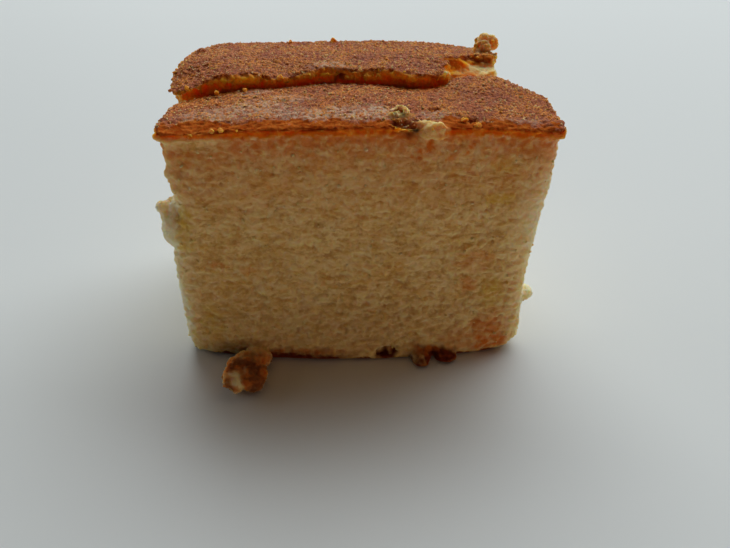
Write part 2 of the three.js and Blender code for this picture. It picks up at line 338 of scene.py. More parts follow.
# Where the crust's cut edge was baked browner.
BROWNED = [
    (0.0, -17.3, 53.0, 60.0, 8.0, 7.0, 0.65),
    (2.0, -17.3, 52.5, 18.0, 4.0, 4.0, 0.75),
    (7.0, -17.3, 52.0, 5.0, 4.0, 3.0, 0.9),
    (30.0, -17.3, 52.0, 13.0, 4.0, 4.0, 0.7),
    (14.0, 6.5, 54.0, 8.0, 3.0, 1.4, 0.6),
    (22.5, 14.6, 56.2, 4.4, 4.4, 1.7, 0.95),
    (-2.0, 31.0, 54.0, 60.0, 5.0, 7.0, 0.9),
]
# Where the skin is rubbed off along the crust's rim, which leaves a smoother brown band.
RUBBED = [
    (-29.0, -17.2, 53.4, 11.0, 6.2, 1.7, 1.0),
    (-14.0, -17.2, 54.0, 12.0, 5.4, 1.7, 1.0),
    (-5.0, -17.2, 54.2, 8.0, 4.4, 1.7, 1.0),
    (3.0, -17.2, 54.2, 12.0, 3.0, 1.7, 1.0),
    (19.5, -17.2, 54.2, 7.0, 5.2, 1.7, 1.0),
    (28.0, -17.2, 53.6, 14.0, 4.4, 1.7, 1.0),
    (24.0, 12.5, 55.5, 5.0, 5.5, 3.0, 0.8),
]
# Where the crumb is painted pale: both ends and the flake, as painted glow of light coming through
# them, and pale crumb at the torn corner and a scrap.
PALE_AND_GLOW_SPOTS = [
    (-40.0, 0.0, 12.0, 7.5, 60.0, 22.0, 1.0),
    (-39.5, 0.0, 34.0, 9.0, 60.0, 22.0, 1.0),
    (-40.5, 0.0, 50.0, 6.5, 60.0, 9.0, 1.0),
    (40.5, 0.0, 12.0, 8.5, 60.0, 22.0, 1.0),
    (40.5, 0.0, 34.0, 9.5, 60.0, 22.0, 1.0),
    (40.5, 0.0, 50.0, 6.5, 60.0, 9.0, 1.0),
    (36.5, 22.0, 26.0, 8.0, 15.0, 34.0, 1.0),
    (30.2, 22.6, 57.2, 3.4, 4.0, 2.6, 0.15),
    (34.0, 14.0, 51.8, 4.6, 6.5, 3.2, 0.6),
    (19.4, 7.4, 55.4, 1.3, 1.4, 1.2, 0.8),
    (-25.1, -29.8, 3.6, 2.0, 3.0, 4.0, 1.0),
]
# How far these places stand out or lie in, in millimetres.
RAISED = [
    (-36.0, -14.0, 41.5, 4.0, 8.0, 4.5, 0.9),
    (37.8, -16.4, 52.9, 2.4, 4.0, 1.7, 0.45),
    (14.0, -17.8, 53.6, 2.6, 2.6, 1.8, 0.5),
    (30.4, 22.6, 57.4, 2.8, 2.8, 1.8, 0.45),
    (34.6, 14.0, 51.5, 3.0, 6.0, 4.0, 0.7),
]
HOLLOW = [
    (9.8, -16.8, 53.6, 2.6, 2.4, 1.8, 1.1),
    (-2.9, 7.5, 54.8, 1.0, 1.2, 1.0, 0.8),
    (6.5, -20.4, 1.4, 2.4, 2.4, 1.6, 1.0),
    (14.8, -8.7, 54.5, 1.3, 0.9, 1.4, 0.9),
    (21.5, -13.7, 54.0, 1.8, 1.0, 1.4, 0.7),
    (2.3, -17.3, 14.0, 1.0, 2.0, 0.8, 0.9),
    (12.8, -17.6, 6.7, 1.2, 2.0, 0.8, 0.9),
    (1.9, -17.3, 36.0, 1.4, 2.0, 0.7, 0.5),
    (-8.4, -17.3, 29.0, 1.6, 2.0, 0.6, 0.5),
]
# Pale dusting on the crust's top, partly a painted sheen.
DUST_AND_SHEEN_SPOTS = [
    (-26.0, -9.6, 54, 8.0, 4.0, 6, 0.75),
    (-17.4, -7.0, 54, 8.0, 4.6, 6, 0.8),
    (-9.9, -11.0, 54, 9.0, 4.2, 6, 0.9),
    (-1.5, -10.6, 54, 8.0, 3.4, 6, 0.9),
    (4.6, -10.6, 54, 4.4, 4.2, 6, 1.0),
    (-13.0, -2.6, 54, 5.0, 2.6, 6, 0.6),
    (16.0, -12.0, 54, 4.0, 3.0, 6, 0.6),
    (-4.5, 9.5, 56, 5.0, 2.6, 6, 0.8),
    (31.0, -13.5, 53, 5.0, 2.0, 6, 0.4),
    (-20.0, 2.0, 54, 4.5, 2.2, 6, 0.7),
]

# %% Paint masks
MARKS = {
    "caramel": CARAMEL,
    "butter": BUTTER,
    "bare": BARE,
    "scorched": SCORCHED_AND_SHADE_SPOTS,
    "dust": DUST_AND_SHEEN_SPOTS,
    "browned": BROWNED,
    "rubbed": RUBBED,
    "dry": PALE_AND_GLOW_SPOTS,
    "raised": RAISED,
    "hollow": HOLLOW,
}
for skin in (front, rear):
    for name, spots in MARKS.items():
        paint(skin, name, spots)
print("spots:", {name: len(spots) for name, spots in MARKS.items()})

# %% [markdown]
# ## Crumb and crust as relief
#
# Torn crumb is rough at several sizes at once: flakes a millimetre or two wide with sharp little
# edges, smaller bits on them, and open bubbles that the rising batter drew out sideways. Near
# the base the sponge is denser and tears in bigger lumps. The crust has only low swells and a
# tight grain, but its cut rim is ragged. Sculpting this by hand would take days, and it follows
# a rule, so a Geometry Nodes tree does it. The tree first measures how deep each point lies
# under the crust's top, because that tells crumb from crust, and it keeps that depth for the
# colours. Depth 0 is the top of the crust and depth 1 is its underside. The plain distance is
# kept as well, because colour soaked into the crumb equally far under a thick and a thin crust.

# %% Relief inputs
# These suit the rear slice. The front slice gets a thinner crust when it is carved. Sizes are
# the widths of lumps, and heights and depths say how far the skin moves.
RELIEF_INPUTS = {
    "Crust Thickness": 3.1 * MM,
    "Flake Height": 0.36 * MM,
    "Flake Size": 1.6 * MM,
    "Bubble Depth": 0.35 * MM,
    "Bubble Size": 1.2 * MM,
    "Crust Swell": 0.3 * MM,
    "Crust Grain": 0.34 * MM,
    "Rim Bites": 0.9 * MM,
    "Seed": 0.0,
    "Torn Radius": 0.0,
}
# The crust's top is what faces up by this much and lies above this height.
TOP_FACING = 0.6
TOP_HEIGHT = 48 * MM
# Flakes are drawn out sideways, so the pattern's height is squeezed.
DRAWN_OUT = (0.85, 0.85, 1.15)
# Bubbles are bent out of round by noise of this scale and strength.
WOBBLE_SCALE = 900.0
WOBBLE = (1.1 * MM, 1.1 * MM, 0.8 * MM)
SWELL_SIZE = 4.5 * MM
GRAIN_SIZE = 0.85 * MM
BITE_SIZE = 1.9 * MM
RUBBED_AWAY = 0.3 * MM
print("relief inputs:", ", ".join(RELIEF_INPUTS))


# %% Relief of crumb and of crust
def vector_step(tree, operation, first, second, third=(0, 0, 0)):
    """One step of arithmetic with places."""
    values = {0: first, 1: second}
    if operation == "MULTIPLY_ADD":
        values[2] = third
    return add(tree, "ShaderNodeVectorMath", {"operation": operation}, values).outputs[0]


def scaled(tree, direction, length):
    """A direction times a number."""
    inputs = {0: direction, "Scale": length}
    return add(tree, "ShaderNodeVectorMath", {"operation": "SCALE"}, inputs).outputs[0]


def clouds(tree, where, size, detail=2.0):
    """Cloudy noise whose size is one of the tree's inputs."""
    scale = calc(tree, "DIVIDE", 1.0, size)
    inputs = {"Vector": where, "Scale": scale, "Detail": detail, "Roughness": 0.55}
    return add(tree, "ShaderNodeTexNoise", None, inputs).outputs["Fac"]


def coloured_noise(tree, where, scale):
    """Noise with three values at each place, to push places about."""
    inputs = {"Vector": where, "Scale": scale, "Detail": 1.0}
    return add(tree, "ShaderNodeTexNoise", None, inputs).outputs["Color"]


def stored(tree, name):
    """A mask that is painted on the mesh."""
    settings = {"data_type": "FLOAT"}
    node = add(tree, "GeometryNodeInputNamedAttribute", settings, {"Name": name})
    return node.outputs["Attribute"]


def sunk(tree, raised, depth, proud=0.25):
    """How far a point sinks where it isn't raised, and stands proud where it is."""
    return calc(tree, "MULTIPLY", calc(tree, "SUBTRACT", raised, 1.0 - proud), depth)


def crust_top(tree, geometry, place, upward, height, middle, radius):
    """The faces of the crust's top, without the corner where it was torn away."""
    from_tear = vector_step(tree, "SUBTRACT", place, middle)
    in_plan = vector_step(tree, "MULTIPLY", from_tear, (1, 1, 0))
    length = add(tree, "ShaderNodeVectorMath", {"operation": "LENGTH"}, {0: in_plan})
    reach = length.outputs["Value"]
    whole = calc(tree, "GREATER_THAN", reach, radius)
    facing = calc(tree, "GREATER_THAN", upward, TOP_FACING)
    high = calc(tree, "GREATER_THAN", height, TOP_HEIGHT)
    chosen = calc(tree, "MULTIPLY", calc(tree, "MULTIPLY", facing, high), whole)
    inputs = {"Geometry": geometry, "Selection": chosen}
    return add(tree, "GeometryNodeSeparateGeometry", {"domain": "FACE"}, inputs).outputs[0]


def crumb_relief(tree, given, where, height):
    """How far torn crumb sinks at each point, and how deep in a pit that is."""
    drawn_out = vector_step(tree, "MULTIPLY", where, DRAWN_OUT)
    flakes = fade(tree, clouds(tree, drawn_out, given["Flake Size"], 5.0), 0.34, 0.66)
    small = calc(tree, "MULTIPLY", given["Flake Size"], 0.42)
    bits = fade(tree, clouds(tree, where, small, 1.0), 0.36, 0.62)
    wobble = coloured_noise(tree, where, WOBBLE_SCALE)
    bent = vector_step(tree, "MULTIPLY_ADD", wobble, WOBBLE, drawn_out)
    inputs = {"Vector": bent, "Scale": calc(tree, "DIVIDE", 1.0, given["Bubble Size"])}
    cells = add(tree, "ShaderNodeTexVoronoi", None, inputs).outputs["Distance"]
    # Bubbles lie in groups.
    wide = calc(tree, "MULTIPLY", given["Flake Size"], 1.6)
    some = fade(tree, clouds(tree, where, wide, 1.0), 0.52, 0.66)
    bubbles = calc(tree, "MULTIPLY", fade(tree, cells, 0.48, 0.12), some)
    # The dense sponge near the base tears in bigger lumps.
    coarse = fade(tree, height, 36 * MM, 8 * MM, 0.8, 1.45)
    depth = calc(tree, "MULTIPLY", sunk(tree, flakes, given["Flake Height"]), coarse)
    finer = calc(tree, "MULTIPLY", given["Flake Height"], 0.6)
    depth = calc(tree, "ADD", depth, sunk(tree, bits, finer))
    depth = calc(tree, "SUBTRACT", depth, calc(tree, "MULTIPLY", bubbles, given["Bubble Depth"]))
    pit = calc(tree, "MULTIPLY", depth, -1.0)
    return depth, fade(tree, pit, 0.05 * MM, 0.8 * MM)


def crust_relief(tree, given, where, rim):
    """The same for the crust: swells, tight grain, and bites out of its rim."""
    swell = sunk(tree, clouds(tree, where, SWELL_SIZE, 1.0), given["Crust Swell"])
    bumps = fade(tree, clouds(tree, where, GRAIN_SIZE, 2.0), 0.36, 0.62)
    grain = sunk(tree, bumps, given["Crust Grain"])
    bites = fade(tree, clouds(tree, where, BITE_SIZE, 2.0), 0.36, 0.6)
    bitten = sunk(tree, bites, calc(tree, "MULTIPLY", given["Rim Bites"], rim), 0.45)
    depth = calc(tree, "ADD", calc(tree, "ADD", swell, grain), bitten)
    return depth, calc(tree, "SUBTRACT", 1.0, bumps)


def shape_tree(name, numbers, others):
    """An empty tree that takes and gives geometry, with number inputs and some others."""
    tree = bpy.data.node_groups.new(name, "GeometryNodeTree")
    sockets = tree.interface
    sockets.new_socket("Geometry", in_out="INPUT", socket_type="NodeSocketGeometry")
    for label, value in numbers.items():
        made = sockets.new_socket(label, in_out="INPUT", socket_type="NodeSocketFloat")
        made.default_value = value
    for label, kind in others.items():
        sockets.new_socket(label, in_out="INPUT", socket_type=kind)
    sockets.new_socket("Geometry", in_out="OUTPUT", socket_type="NodeSocketGeometry")
    return tree, add(tree, "NodeGroupInput").outputs


print("relief parts: crust_top, crumb_relief, crust_relief")


# %% Relief tree
def relief_tree():
    """Carves crumb and crust, and stores on the mesh which is which."""
    others = {"Torn Middle": "NodeSocketVector"}
    tree, given = shape_tree("crumb and crust relief", RELIEF_INPUTS, others)
    place = add(tree, "GeometryNodeInputPosition").outputs[0]
    normal = add(tree, "GeometryNodeInputNormal").outputs[0]
    facing = add(tree, "ShaderNodeSeparateXYZ", None, {0: normal}).outputs
    upward = facing["Z"]
    height = add(tree, "ShaderNodeSeparateXYZ", None, {0: place}).outputs["Z"]

    top = crust_top(
        tree, given["Geometry"], place, upward, height, given["Torn Middle"], given["Torn Radius"]
    )
    settings = {"target_element": "FACES"}
    away = add(tree, "GeometryNodeProximity", settings, {0: top}).outputs["Distance"]
    depth = calc(tree, "DIVIDE", away, given["Crust Thickness"])
    crust = fade(tree, depth, 1.15, 0.75)
    rim = calc(tree, "MULTIPLY", fade(tree, upward, 0.93, 0.45), crust)
    # The baked skin ends with a ragged line where the crust turns down into the cut.
    wavy = calc(tree, "MULTIPLY_ADD", clouds(tree, place, 1.6 * MM), 0.5, -0.25)
    towards_cut = calc(tree, "ADD", calc(tree, "ABSOLUTE", facing["Y"]), wavy)
    skin = calc(tree, "MULTIPLY", fade(tree, towards_cut, 0.8, 0.6), crust)
    skin = calc(tree, "MULTIPLY", skin, fade(tree, upward, 0.43, 0.63))
    skin = calc(tree, "MULTIPLY", skin, fade(tree, depth, 0.45, 0.2))
    ragged = calc(tree, "MULTIPLY_ADD", wavy, 2.0, stored(tree, "rubbed"))
    skin = calc(tree, "MULTIPLY", skin, fade(tree, ragged, 0.55, 0.45))

    # The pattern is moved by the seed, so that the two slices differ.
    where = vector_step(tree, "ADD", place, given["Seed"])
    crumb_lift, crumb_pit = crumb_relief(tree, given, where, height)
    softer = calc(tree, "MULTIPLY_ADD", stored(tree, "bare"), -0.25, 1.0)
    crumb_lift = calc(tree, "MULTIPLY", crumb_lift, softer)
    crust_lift, crust_pit = crust_relief(tree, given, where, rim)
    mix = {"data_type": "FLOAT"}
    lift = add(tree, "ShaderNodeMix", mix, {0: crust, 2: crumb_lift, 3: crust_lift}).outputs[0]
    pit = add(tree, "ShaderNodeMix", mix, {0: crust, 2: crumb_pit, 3: crust_pit}).outputs[0]
    for name, amount in (("raised", MM), ("hollow", -MM), ("rubbed", -RUBBED_AWAY)):
        lift = calc(tree, "MULTIPLY_ADD", stored(tree, name), amount, lift)
    # The underside stays flat.
    lift = calc(tree, "MULTIPLY", lift, fade(tree, height, 0.1 * MM, 1.2 * MM))
    offset = scaled(tree, normal, lift)

    # The masks are kept before the points move.
    geometry = given["Geometry"]
    kept = {"depth": depth, "below": away, "pit": pit, "skin": skin, "rim": rim}
    for name, value in kept.items():
        geometry = add(
            tree,
            "GeometryNodeStoreNamedAttribute",
            {"data_type": "FLOAT", "domain": "POINT"},
            {"Geometry": geometry, "Name": name, "Value": value},
        ).outputs[0]
    carved = add(
        tree, "GeometryNodeSetPosition", None, {"Geometry": geometry, "Offset": offset}
    ).outputs[0]
    shaded = add(tree, "GeometryNodeSetShadeSmooth", None, {0: carved}).outputs[0]
    add(tree, "NodeGroupOutput", None, {0: shaded})
    return tree


RELIEF = relief_tree()
print("relief tree:", len(RELIEF.nodes), "nodes")


# %% Carve both slices
def set_inputs(modifier, values):
    """Sets a tree's inputs by the identifiers of its sockets."""
    for item in modifier.node_group.interface.items_tree:
        if item.name in values and item.in_out == "INPUT":
            modifier[item.identifier] = values[item.name]


def keep_inside(skin, low, high):
    """Moves points that stand out of a box on to its sides."""
    skin.data.vertices.foreach_set("co", np.clip(points_of(skin), low, high).ravel())
    skin.data.update()


CAD_LOW, CAD_HIGH = (np.array(corner) for corner in cad_box)


def carve(skin, node, values):
    """Carves the relief, and keeps the piece inside its solid's box."""
    modifier = skin.modifiers.new("relief", "NODES")
    modifier.node_group = RELIEF
    set_inputs(modifier, values)
    settle(skin)
    keep_inside(skin, *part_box(node))
    print(node, "mean pit", round(float(mask_of(skin, "pit").mean()), 2))


THIN_CRUST = {"Crust Thickness": 1.6 * MM, "Rim Bites": 0.6 * MM}
TORN_CORNER = {"Torn Middle": Vector((32.3, 4.7, 0)) * MM, "Torn Radius": 14.2 * MM}
carve(front, "front_slice", THIN_CRUST)
carve(rear, "rear_slice", {"Seed": 0.31, **TORN_CORNER})

# %% [markdown]
# ## Finishes
#
# Sponge lets light in: a thin edge glows, and a shadowed face turns warm because only light that
# went through the crumb reaches it. Subsurface scattering does this on a pale yellow crumb, and
# the colours add painted light and shade as well: the ends paler for their glow, the pits darker,
# the crumb darker under the crust and paler near the base. The crust is read from its depth:
# baked brown skin on top, then deep orange, then a bleeding edge into the crumb. Where its rim was
# rubbed it is a dull brown that lets little light through. The crumb's and the crust's colours
# are node groups, because the slices and their loose crumbs share them.

# %% Colours
CRUMB = ((0.79, 0.495, 0.17, 1), (0.86, 0.61, 0.26, 1))
PALE_FLECK = (0.90, 0.68, 0.33, 1)
BROWN_FLECK = (0.60, 0.32, 0.085, 1)
# Painted shade in the crumb's pits.
PIT_SHADE = (0.56, 0.30, 0.085, 1)
# Painted glow at the thin ends and the flake, and pale crumb at the torn corner and a scrap.
PALE_AND_GLOW_COLOUR = (0.96, 0.81, 0.44, 1)
PALEST_AND_GLOW_COLOUR = (0.98, 0.93, 0.74, 1)
BUTTER_YELLOW = (0.72, 0.46, 0.06, 1)
CARAMEL_BROWN = (0.70, 0.18, 0.022, 1)

SKIN_DARK = ((0.24, 0.040, 0.009, 1), (0.30, 0.060, 0.012, 1))
SKIN_LIGHT = ((0.58, 0.165, 0.055, 1), (0.80, 0.27, 0.042, 1))
# Pale dusting on the skin, partly a painted sheen.
SKIN_DUST_AND_SHEEN = (0.72, 0.49, 0.34, 1)
# The cut crust from its top, 0, to twice its depth, 1.
CUT_TOP = (0.88, 0.33, 0.05, 1)
CUT_BANDS = {
    0.12: (0.98, 0.38, 0.032, 1),
    0.32: (0.98, 0.31, 0.018, 1),
    0.58: (0.96, 0.38, 0.036, 1),
}
CUT_UNDER = (0.84, 0.50, 0.16, 1)
CUT_BROWNED = (0.52, 0.095, 0.006, 1)
# The cut crust dulled where the ends are painted pale.
CUT_AT_PALE_ENDS = (0.56, 0.22, 0.055, 1)
WORN_RIM = ((0.33, 0.052, 0.006, 1), (0.54, 0.13, 0.020, 1))
WORN_DARKEST = (0.28, 0.04, 0.004, 1)

# Charred crust, which also stands in as painted shade in hollows and painted shadow at the foot.
BURNT_AND_SHADE = ((0.20, 0.036, 0.005, 1), (0.60, 0.155, 0.016, 1))
FOOT_DARKEST = (0.14, 0.018, 0.003, 1)
print("crust bands at", list(CUT_BANDS))


# %% Colour groups
def colour_group(name, inputs):
    """An empty group with number inputs and one colour output."""
    tree = bpy.data.node_groups.new(name, "ShaderNodeTree")
    for label, value in inputs.items():
        made = tree.interface.new_socket(label, in_out="INPUT", socket_type="NodeSocketFloat")
        made.default_value = value
    tree.interface.new_socket("Color", in_out="OUTPUT", socket_type="NodeSocketColor")
    given = add(tree, "NodeGroupInput").outputs
    where = add(tree, "ShaderNodeTexCoord").outputs["Object"]
    return tree, given, where


def crumb_colours():
    """Pale crumb with flecks, browner in its pits as painted shade, painted paler at the glowing
    ends, with its stains on top.
    """
    inputs = {"Pit Shade": 0.0, "Caramel": 0.0, "Butter": 0.0, "Pale And Glow": 0.0}
    tree, given, where = colour_group("crumb colours", inputs)
    cloudy = fade(tree, speckle(tree, where, 5 * MM, 4.0, 0.6), 0.36, 0.62)
    colour = blend(tree, cloudy, *CRUMB)
    drawn_out = vector_step(tree, "MULTIPLY", where, (0.75, 0.75, 1.25))
    flecks = speckle(tree, drawn_out, 1.7 * MM, 4.0, 0.65)
    colour = blend(tree, fade(tree, flecks, 0.5, 0.66, 0.0, 0.7), colour, PALE_FLECK)
    colour = blend(tree, fade(tree, flecks, 0.5, 0.36, 0.0, 0.7), colour, BROWN_FLECK)
    # Painted shade: browner the deeper a pit is.
    colour = blend(tree, calc(tree, "MULTIPLY", given["Pit Shade"], 0.6), colour, PIT_SHADE)
    # Painted glow: paler at the thin ends and the flake, and pale crumb on a scrap and the torn
    # corner.
    colour = blend(tree, given["Pale And Glow"], colour, PALE_AND_GLOW_COLOUR)
    colour = blend(tree, fade(tree, given["Pale And Glow"], 0.7, 0.8, 0.0, 0.35), colour, PALEST_AND_GLOW_COLOUR)
    # Stains are broken up by the crumb's bubbles.
    broken = fade(tree, speckle(tree, where, 1.6 * MM, 2.0), 0.3, 0.62, 0.35, 1.0)
    for name, stain in (("Butter", BUTTER_YELLOW), ("Caramel", CARAMEL_BROWN)):
        colour = blend(tree, calc(tree, "MULTIPLY", given[name], broken), colour, stain)
    add(tree, "NodeGroupOutput", None, {0: colour})
    return tree


def crust_colours():
    """Grainy skin with dusting and painted sheen over the crust's cut edge, with its worn rim."""
    inputs = {"Depth": 0.0, "Skin": 1.0, "Pit Shade": 0.0, "Dust And Sheen": 0.0, "Browned": 0.0, "Pale And Glow": 0.0}
    tree, given, where = colour_group("crust colours", inputs)
    grains = fade(tree, speckle(tree, where, 0.4 * MM, 2.0, 0.65), 0.38, 0.62, 0.05, 1.1)
    # Darker in its pits: painted shade over the skin's own fine grain.
    crests = calc(tree, "MULTIPLY_ADD", given["Pit Shade"], -0.6, calc(tree, "ADD", grains, 0.1))
    patches = fade(tree, speckle(tree, where, 5 * MM, 3.0), 0.38, 0.62)
    dark = blend(tree, patches, *SKIN_DARK)
    light = blend(tree, patches, *SKIN_LIGHT)
    skin = blend(tree, crests, dark, light)
    # Pale patches: partly dusting, partly painted sheen.
    dust_sheen_share = fade(tree, speckle(tree, where, 0.8 * MM, 3.0, 0.7), 0.62, 0.34)
    skin = blend(tree, calc(tree, "MULTIPLY", dust_sheen_share, given["Dust And Sheen"]), skin, SKIN_DUST_AND_SHEEN)

    # The cut edge changes colour with depth, along ragged lines.
    ragged = calc(tree, "MULTIPLY_ADD", speckle(tree, where, 1.3 * MM, 2.0), 0.5, -0.25)
    depth = calc(tree, "ADD", given["Depth"], ragged)
    cut = add(tree, "ShaderNodeValToRGB", None, {0: calc(tree, "DIVIDE", depth, 2.0)})
    stops = cut.color_ramp.elements
    stops[0].color = CUT_TOP
    stops[1].color = CUT_UNDER
    for position, colour in CUT_BANDS.items():
        stops.new(position).color = colour
    inside = cut.outputs[0]
    # The cut crust is dulled where the crumb is painted pale at the ends.
    for name, tone in (("Browned", CUT_BROWNED), ("Pale And Glow", CUT_AT_PALE_ENDS)):
        inside = blend(tree, calc(tree, "MULTIPLY", given[name], 0.8), inside, tone)

    # At its very top the edge is worn to a blotchy brown.
    blotches = fade(tree, speckle(tree, where, 2.2 * MM, 3.0, 0.6), 0.36, 0.64)
    rim = blend(tree, blotches, *WORN_RIM)
    rim = blend(tree, fade(tree, given["Browned"], 0.7, 1.0), rim, WORN_DARKEST)
    baked = fade(tree, given["Browned"], 0.1, 0.5)
    worn = calc(tree, "MULTIPLY", baked, fade(tree, given["Depth"], 0.5, 0.1))
    inside = blend(tree, worn, inside, rim)
    colour = blend(tree, given["Skin"], inside, skin)
    add(tree, "NodeGroupOutput", None, {0: colour})
    return tree


CRUMB_COLOURS = crumb_colours()
CRUST_COLOURS = crust_colours()
print("colour groups:", CRUMB_COLOURS.name, "and", CRUST_COLOURS.name)


# %% Sponge and crust materials
def principled(name):
    """A new material, its tree and its Principled node."""
    material = bpy.data.materials.new(name)
    material.use_nodes = True
    return material, material.node_tree, material.node_tree.nodes["Principled BSDF"]


def set_finish(shader, roughness, shine, glow, reach, radius):
    """Sets how dull a material is, and how far light of each colour goes inside."""
    shader.inputs["Roughness"].default_value = roughness
    shader.inputs["Specular IOR Level"].default_value = shine
    shader.inputs["Subsurface Weight"].default_value = glow
    shader.inputs["Subsurface Scale"].default_value = reach
    shader.inputs["Subsurface Radius"].default_value = radius


def mask(tree, name):
    """A mask that is stored on the mesh."""
    return add(tree, "ShaderNodeAttribute", {"attribute_name": name}).outputs["Fac"]


def cake_colour(tree, where):
    """The cake's colour: crumb, crust over it, and scorched places over both."""
    height = add(tree, "ShaderNodeSeparateXYZ", None, {0: where}).outputs["Z"]
    depth, below, pit, bare, glow_mask = (
        mask(tree, name) for name in ("depth", "below", "pit", "bare", "dry")
    )
    covered = calc(tree, "SUBTRACT", 1.0, bare)
    pit = calc(tree, "MULTIPLY", pit, calc(tree, "MULTIPLY_ADD", bare, -0.6, 1.0))

    # The crumb is browner under the crust: close under it from colour taken up from the crust, and
    # deeper down, over the face's upper half, as painted shade. Near the base it is painted paler,
    # partly denser crumb and partly painted light.
    near = fade(tree, below, 8 * MM, 1.6 * MM, 0.0, 0.38)
    soaked_and_shade = calc(tree, "ADD", near, fade(tree, below, 24 * MM, 1.6 * MM, 0.0, 0.46))
    soaked_and_shade = calc(tree, "MULTIPLY", soaked_and_shade, covered)
    # Painted light near the base, partly denser, paler crumb.
    low = fade(tree, height, 20 * MM, 4 * MM, 0.0, 0.22)
    inputs = {
        "Pit Shade": pit,
        "Caramel": calc(tree, "MAXIMUM", mask(tree, "caramel"), soaked_and_shade),
        "Butter": mask(tree, "butter"),
        "Pale And Glow": calc(tree, "MAXIMUM", calc(tree, "MULTIPLY", glow_mask, 0.8), low),
    }
    crumb = add(tree, "ShaderNodeGroup", {"node_tree": CRUMB_COLOURS}, inputs)
    inputs = {"Depth": depth, "Pit Shade": pit, "Pale And Glow": glow_mask}
    inputs.update({"Skin": mask(tree, "skin"), "Dust And Sheen": mask(tree, "dust")})
    inputs["Browned"] = mask(tree, "browned")
    crust = add(tree, "ShaderNodeGroup", {"node_tree": CRUST_COLOURS}, inputs)

    # The crust's underside is ragged.
    ragged = calc(tree, "MULTIPLY_ADD", speckle(tree, where, 1.9 * MM, 3.0, 0.6), 2.4, -1.2)
    edge = fade(tree, calc(tree, "ADD", depth, ragged), 1.3, 0.7)
    edge = calc(tree, "MULTIPLY", edge, covered)
    colour = blend(tree, edge, crumb.outputs[0], crust.outputs[0])

    # The foot is charred up to an uneven line and darkest at the bottom, partly painted shadow
    # where it meets the floor. The painted scraps are charred too, and the hollows get painted
    # shade.
    patchy = speckle(tree, where, 2.4 * MM, 2.0)
    burnt_and_shade = blend(tree, fade(tree, patchy, 0.4, 0.6), *BURNT_AND_SHADE)
    burnt_and_shade = blend(tree, fade(tree, height, 3.0 * MM, 1.2 * MM), burnt_and_shade, FOOT_DARKEST)
    lapping = calc(tree, "MULTIPLY_ADD", patchy, 3 * MM, -1.5 * MM)
    foot = fade(tree, calc(tree, "ADD", height, lapping), 0.9 * MM, 0.3 * MM)
    scorched = calc(tree, "MAXIMUM", foot, mask(tree, "scorched"))
    return blend(tree, calc(tree, "MULTIPLY", scorched, covered), colour, burnt_and_shade)


def cake_material(name, glow, reach, roughness, shine, grain):
    """The cake's colours with one finish: inner light, shine, and height of its fine grain."""
    material, tree, shader = principled(name)
    where = add(tree, "ShaderNodeTexCoord").outputs["Object"]
    tree.links.new(cake_colour(tree, where), shader.inputs["Base Color"])
    set_finish(shader, roughness, shine, glow, reach, (1.0, 0.65, 0.32))
    fine = speckle(tree, where, 0.4 * MM, 2.0, 0.6)
    bump = add(tree, "ShaderNodeBump", None, {"Strength": 0.8, "Distance": grain, "Height": fine})
    tree.links.new(bump.outputs[0], shader.inputs["Normal"])
    return material


# Inner light and its reach, roughness, shine, and the height of the fine grain.
FINISHES = {
    "sponge": (1.0, 3.2 * MM, 0.8, 0.1, 0.15 * MM),
    "baked skin": (0.4, 0.8 * MM, 0.4, 0.06, 0.35 * MM),
    "cut crust": (1.0, 4.5 * MM, 0.8, 0.0, 0.15 * MM),
    "worn crust": (0.6, 0.8 * MM, 0.8, 0.0, 0.3 * MM),
}
MATERIALS = [cake_material(name, *values) for name, values in FINISHES.items()]
print("materials:", ", ".join(FINISHES))

# %% Finishes for faces
# How deep the crust and its worn rim reach, in crust thicknesses.
CRUST_DEPTH = 0.95
WORN_DEPTH = 0.1


def finish_faces(slice_skin):
    """Gives each face a finish by what its first corner is: crumb, baked skin, cut or worn rim."""
    mesh = slice_skin.data
    mesh.materials.clear()
    for material in MATERIALS:
        mesh.materials.append(material)
    depth = mask_of(slice_skin, "depth")
    covered = (mask_of(slice_skin, "bare") < 0.5) & (mask_of(slice_skin, "scorched") < 0.5)
    baked = (mask_of(slice_skin, "skin") > 0.5) & covered
    worn = (depth < WORN_DEPTH) & covered
    cut = (depth < CRUST_DEPTH) & covered
    choice = np.select([baked, worn, cut], [1, 3, 2], 0)
    corners = np.empty(len(mesh.loops), np.int32)
    mesh.loops.foreach_get("vertex_index", corners)
    starts = np.empty(len(mesh.polygons), np.int32)
    mesh.polygons.foreach_get("loop_start", starts)
    mesh.polygons.foreach_set("material_index", choice[corners[starts]].astype(np.int32))
    mesh.update()
    print(slice_skin.name, "points of sponge, skin, cut, worn:", np.bincount(choice).tolist())


finish_faces(front)
finish_faces(rear)

# %% [markdown]
# ## Hidden faces made light
#
# The two faces of the inner cut and the undersides can't be seen, and at full fineness they
# would be a third of the mesh. Decimate takes a vertex group, so at first only they are thinned
# out. Then the flattest places everywhere give up points until the mesh is light enough.

# %% Thin out what is hidden
MOST_TRIANGLES = 190000
# The inner cut lies this far behind the middle. Its faces reach this far from it, and sideways
# and up this far.
CUT_MIDDLE = 6 * MM
CUT_REACH = 6 * MM
CUT_SIDE = 31 * MM
CUT_HEIGHT = 46 * MM
CUT_FACING = 0.3
# The underside is all that lies lower than this.
UNDERSIDE = 0.05 * MM
THINNED_SHARE = 0.9


